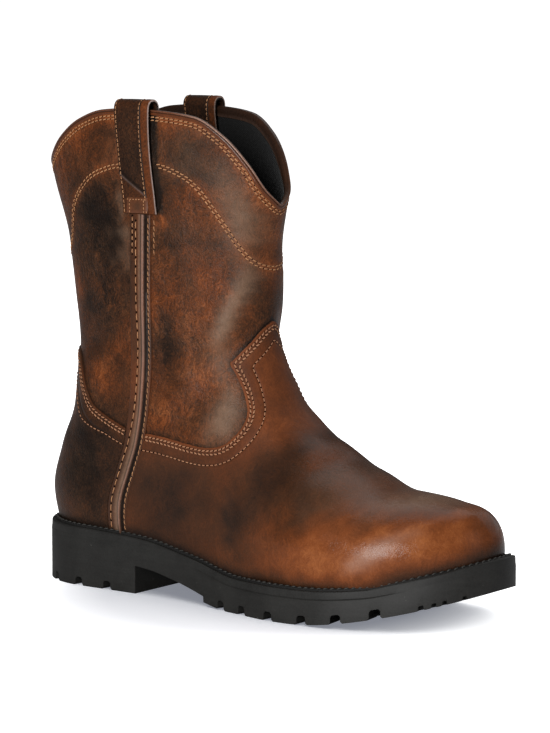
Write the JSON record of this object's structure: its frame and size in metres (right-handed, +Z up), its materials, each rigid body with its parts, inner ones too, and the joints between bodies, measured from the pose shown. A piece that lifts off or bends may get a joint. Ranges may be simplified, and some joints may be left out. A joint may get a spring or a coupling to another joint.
{
  "type": "pull-on work boot",
  "caption": "Ankle-to-calf pull-on work boot for a right foot: scalloped open collar with pull straps, rounded toe, side seams and a lugged rubber sole with a block heel.",
  "frame": {"origin": "on the floor, under the middle of the boot's box", "axes": "+X from heel to toe, +Y from the outer to the inner side of the foot, +Z up"},
  "size_m": [0.313, 0.1094, 0.2872],
  "materials": {
    "sole_rubber": "matt black lugged rubber",
    "welt_black": "matt black stitched strip",
    "insole_black": "matt black lining cloth",
    "shaft_leather": "oiled pull-up leather, mottled dark and red brown",
    "vamp_leather": "oiled pull-up leather, lighter at the toe",
    "counter_leather": "oiled pull-up leather, dark at the heel",
    "seam_leather": "red brown strip with a raised bead",
    "strap_leather": "dark brown folded strap",
    "binding_leather": "brown folded edge binding"
  },
  "bodies": {
    "root": {"outsole": "sole_rubber", "welt": "welt_black", "insole": "insole_black", "upper": "shaft_leather", "vamp": "vamp_leather", "counter": "counter_leather", "side_seam_lateral": "seam_leather", "side_seam_medial": "seam_leather", "pull_strap_lateral": "strap_leather", "pull_strap_medial": "strap_leather", "topline_binding": "binding_leather"}
  },
  "joints": []
}
